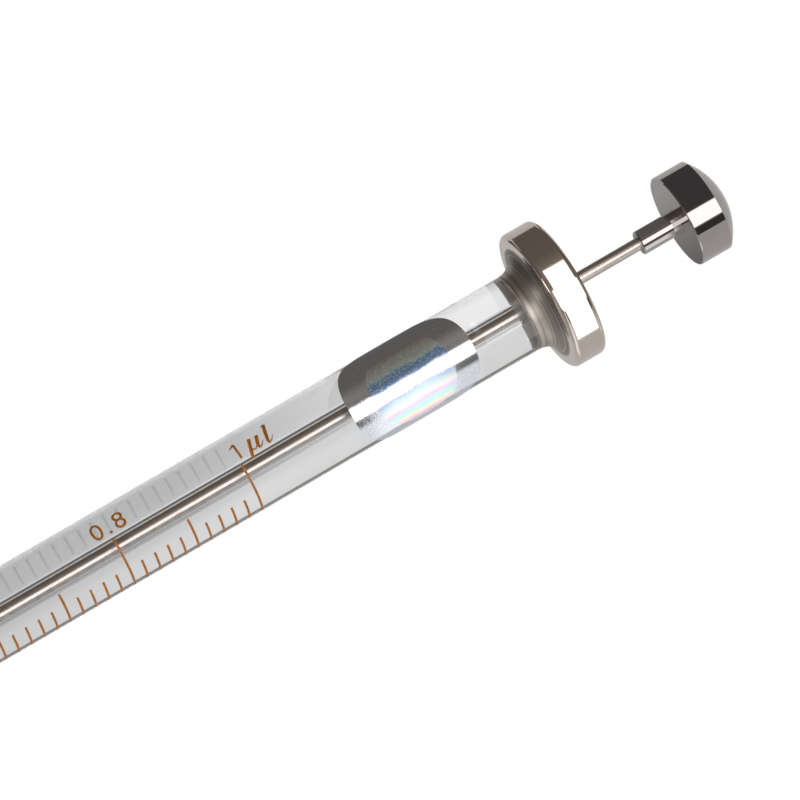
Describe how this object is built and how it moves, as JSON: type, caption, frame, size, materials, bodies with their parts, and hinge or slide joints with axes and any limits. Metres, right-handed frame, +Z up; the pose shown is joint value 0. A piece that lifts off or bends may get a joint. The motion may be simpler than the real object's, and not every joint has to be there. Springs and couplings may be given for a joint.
{
  "type": "microsyringe",
  "caption": "Plunger-in-needle microsyringe: thick glass barrel with an amber scale, turned finger flange, steel plunger rod with a domed button, knurled needle nut and a long fine needle.",
  "frame": {"origin": "on the barrel's axis, at the zero graduation", "axes": "+X along the axis towards the plunger button, +Z up; the scale is read from above and in front, about 17 degrees from +Z towards -Y"},
  "size_m": [0.2012, 0.0124, 0.0124],
  "materials": {
    "glass": "polished clear",
    "enamel": "fused amber enamel",
    "foil": "embossed holographic foil",
    "nickel": "turned, nickel-plated",
    "silicone": "moulded",
    "needle_steel": "drawn",
    "rod_steel": "ground and polished",
    "chrome": "polished chrome plate"
  },
  "bodies": {
    "barrel": {"glass_barrel": "glass", "scale_marks": "enamel", "foil_label": "foil", "rear_flange": "nickel", "front_fitting": "nickel", "sealing_washer": "silicone"},
    "plunger": {"plunger_wire": "needle_steel", "plunger_rod": "rod_steel", "plunger_ferrule": "chrome", "plunger_button": "chrome"},
    "needle": {"needle_hub": "nickel", "needle_tube": "needle_steel"},
    "nut": {"needle_nut": "nickel"}
  },
  "joints": [
    {"name": "plunger_slide", "type": "slide", "parent": "barrel", "child": "plunger", "axis": [1, 0, 0], "range_m": [-0.0066, 0.0534]},
    {"name": "needle_slide", "type": "slide", "parent": "barrel", "child": "needle", "axis": [-1, 0, 0], "range_m": [0, 0.004]},
    {"name": "nut_turn", "type": "hinge", "parent": "needle", "child": "nut", "pos_m": [-0.018, 0, 0], "axis": [-1, 0, 0], "range_deg": [0, 2880.1]}
  ],
  "couplings": [
    {"joint": "nut_turn", "follows": "needle_slide", "rad_per_m": 12566}
  ]
}
